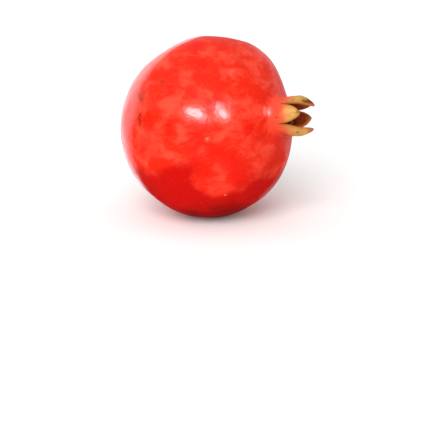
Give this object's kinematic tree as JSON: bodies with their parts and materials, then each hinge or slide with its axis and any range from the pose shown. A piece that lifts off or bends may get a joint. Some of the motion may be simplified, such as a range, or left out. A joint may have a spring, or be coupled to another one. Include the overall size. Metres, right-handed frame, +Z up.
{
  "type": "pomegranate",
  "caption": "Whole ripe pomegranate lying on its side: round red leathery fruit, raised calyx crown with inturned sepals, dried stamens inside, cut stalk stub.",
  "frame": {"origin": "on the flat spot that the fruit rests on, straight below the middle of its body", "axes": "+X towards the crown along the fruit's longest extent, +Z up, -Y the side that shows in the picture"},
  "size_m": [0.1025, 0.0887, 0.0885],
  "materials": {
    "rind": "waxy, softly glossy red rind, tan on the sepals",
    "stamens": "matt, dry"
  },
  "bodies": {
    "root": {"fruit": "rind", "stamens": "stamens"}
  },
  "joints": []
}
